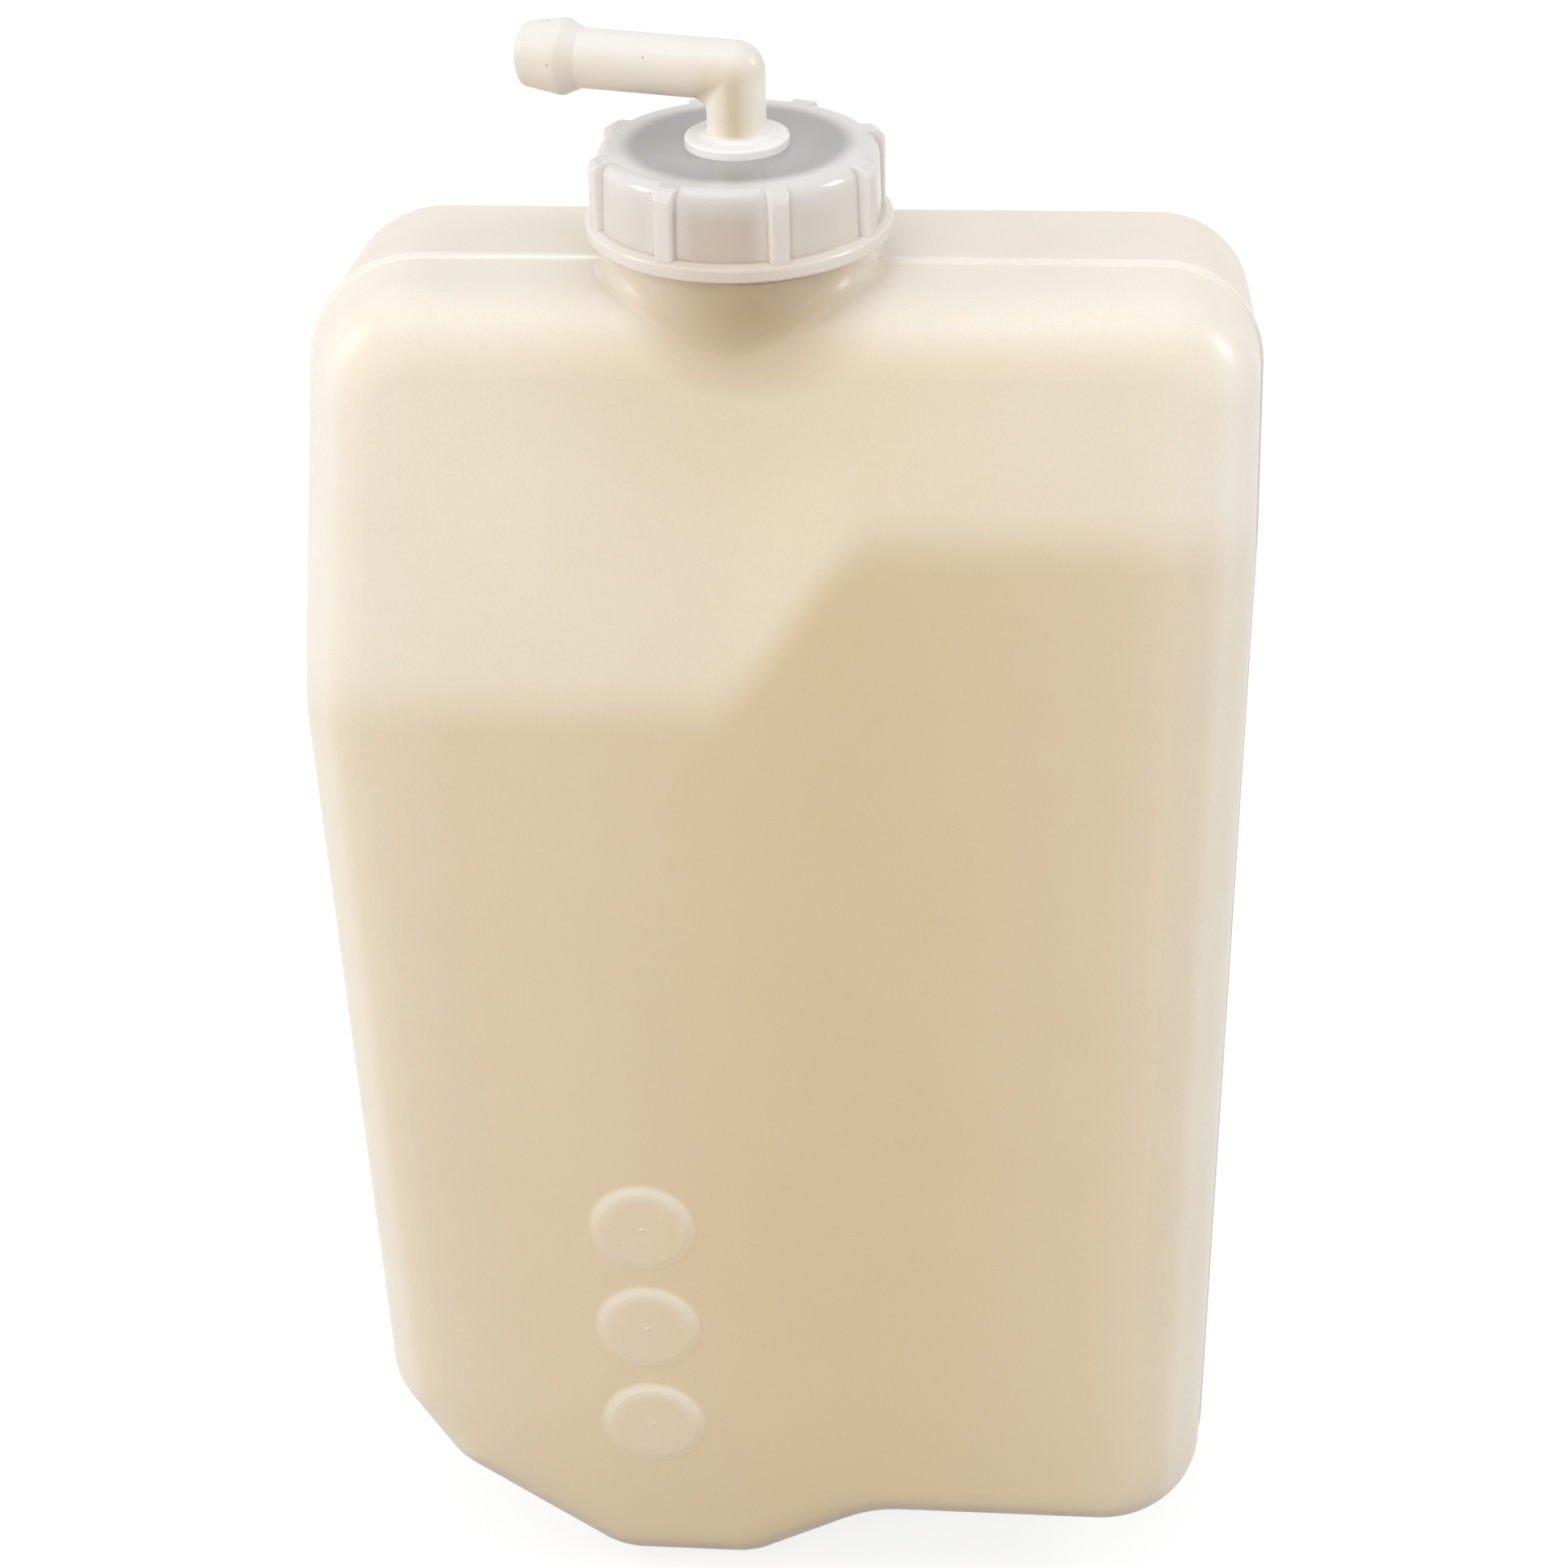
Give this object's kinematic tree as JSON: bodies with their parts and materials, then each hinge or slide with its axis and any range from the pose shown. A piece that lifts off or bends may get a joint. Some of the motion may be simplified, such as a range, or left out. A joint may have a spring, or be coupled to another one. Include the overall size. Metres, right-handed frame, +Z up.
{
  "type": "coolant expansion tank",
  "caption": "Flat blow-moulded bottle of milky plastic with a screw cap, a barbed hose elbow in the cap and a dip tube, which takes in the coolant a radiator pushes out.",
  "frame": {"origin": "centre of the filler neck's rim, on the neck's axis", "axes": "+Z up along the filler neck, -Y out of the tank's shaped front, +Y out of its flat back, +X to the right seen from the front"},
  "size_m": [0.146, 0.052, 0.275],
  "materials": {
    "tank": "satin, translucent natural polyethylene",
    "cap": "satin, translucent milky plastic",
    "seal": "matte rubber",
    "elbow": "opaque cream plastic, half gloss",
    "tube": "translucent soft plastic tube"
  },
  "bodies": {
    "tank": {"tank_body": "tank"},
    "seal": {"cap_seal": "seal"},
    "cap": {"filler_cap": "cap"},
    "elbow": {"hose_elbow": "elbow", "dip_tube": "tube"}
  },
  "joints": [
    {"name": "cap_rise", "type": "slide", "parent": "tank", "child": "seal", "axis": [0, 0, 1], "range_m": [0, 0.006]},
    {"name": "cap_turn", "type": "hinge", "parent": "seal", "child": "cap", "pos_m": [0, 0, 0], "axis": [0, 0, 1], "range_deg": [0, 540]},
    {"name": "elbow_swivel", "type": "hinge", "parent": "cap", "child": "elbow", "pos_m": [0, 0, 0], "axis": [0, 0, 1], "continuous": true}
  ],
  "couplings": [
    {"joint": "cap_rise", "follows": "cap_turn", "m_per_rad": 0.00063662}
  ]
}
